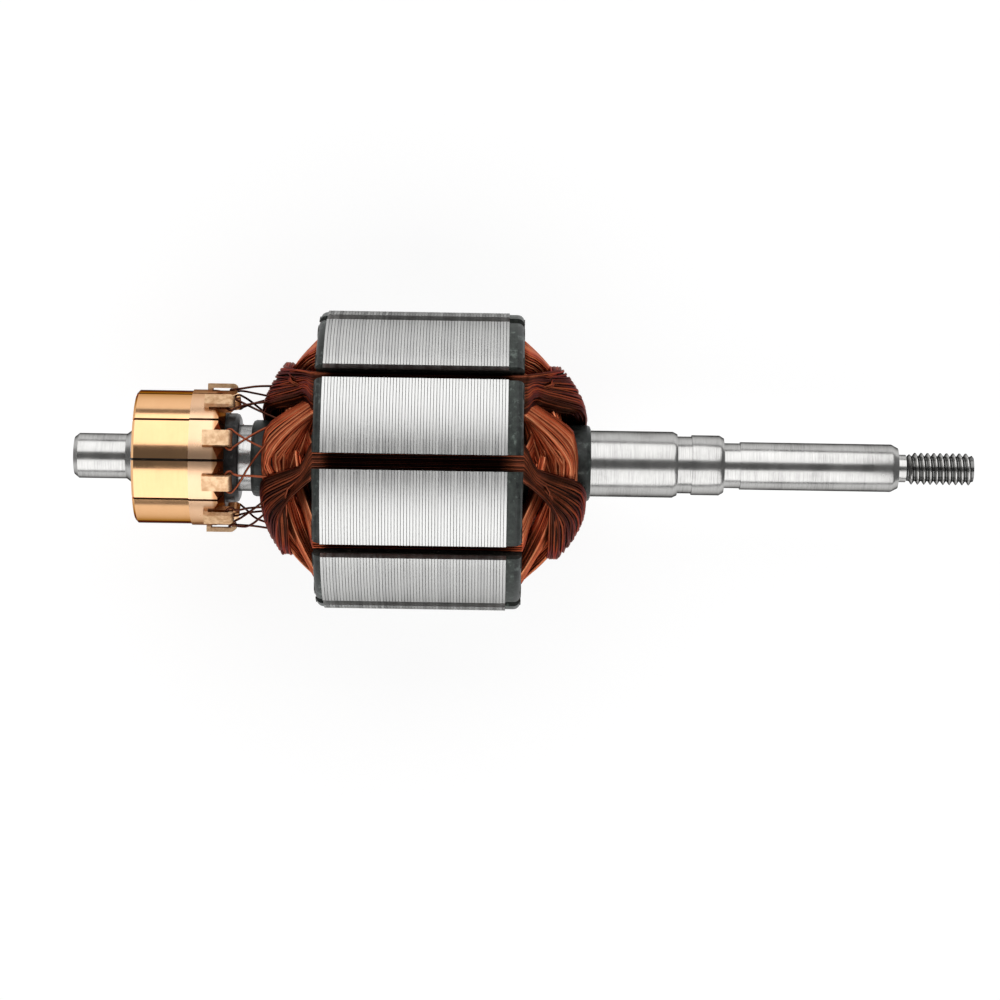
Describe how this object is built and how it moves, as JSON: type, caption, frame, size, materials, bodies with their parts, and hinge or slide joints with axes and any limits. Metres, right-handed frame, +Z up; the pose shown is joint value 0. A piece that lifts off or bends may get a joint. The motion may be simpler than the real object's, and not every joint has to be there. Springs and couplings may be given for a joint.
{
  "type": "motor armature",
  "caption": "Wound commutator-motor armature: slotted laminated core, enamelled copper coils, hooked commutator and a stepped steel shaft with a threaded end.",
  "frame": {"origin": "on the shaft axis, where the drive-end bearing seat begins beside its relief groove", "axes": "+X along the shaft towards the threaded end, +Z up through a slot of the core"},
  "size_m": [0.1794, 0.0594, 0.0594],
  "materials": {
    "shaft": "ground and turned steel",
    "lamination_stack": "bare stacked electrical steel with fine lines between the laminations",
    "front_insulator": "black moulded resin",
    "fibre_end_plate": "grey-green pressed fibre",
    "rear_insulator": "black moulded resin",
    "commutator_hub": "black moulded phenolic",
    "commutator_bar": "turned and polished copper",
    "slot_liner": "dark insulating paper",
    "coil": "enamelled copper wire",
    "coil_lead": "enamelled copper wire"
  },
  "bodies": {
    "root": {"shaft": "shaft", "lamination_stack": "lamination_stack", "front_insulator": "front_insulator", "fibre_end_plate": "fibre_end_plate", "rear_insulator": "rear_insulator", "commutator_hub": "commutator_hub", "commutator_bar_1": "commutator_bar", "commutator_bar_2": "commutator_bar", "commutator_bar_3": "commutator_bar", "commutator_bar_4": "commutator_bar", "commutator_bar_5": "commutator_bar", "commutator_bar_6": "commutator_bar", "commutator_bar_7": "commutator_bar", "commutator_bar_8": "commutator_bar", "commutator_bar_9": "commutator_bar", "commutator_bar_10": "commutator_bar", "slot_liner_1": "slot_liner", "slot_liner_2": "slot_liner", "slot_liner_3": "slot_liner", "slot_liner_4": "slot_liner", "slot_liner_5": "slot_liner", "slot_liner_6": "slot_liner", "slot_liner_7": "slot_liner", "slot_liner_8": "slot_liner", "slot_liner_9": "slot_liner", "slot_liner_10": "slot_liner", "coil_1": "coil", "coil_2": "coil", "coil_3": "coil", "coil_4": "coil", "coil_5": "coil", "coil_6": "coil", "coil_7": "coil", "coil_8": "coil", "coil_9": "coil", "coil_10": "coil", "coil_lead_1": "coil_lead", "coil_lead_2": "coil_lead", "coil_lead_3": "coil_lead", "coil_lead_4": "coil_lead", "coil_lead_5": "coil_lead", "coil_lead_6": "coil_lead", "coil_lead_7": "coil_lead", "coil_lead_8": "coil_lead", "coil_lead_9": "coil_lead", "coil_lead_10": "coil_lead"}
  },
  "joints": []
}
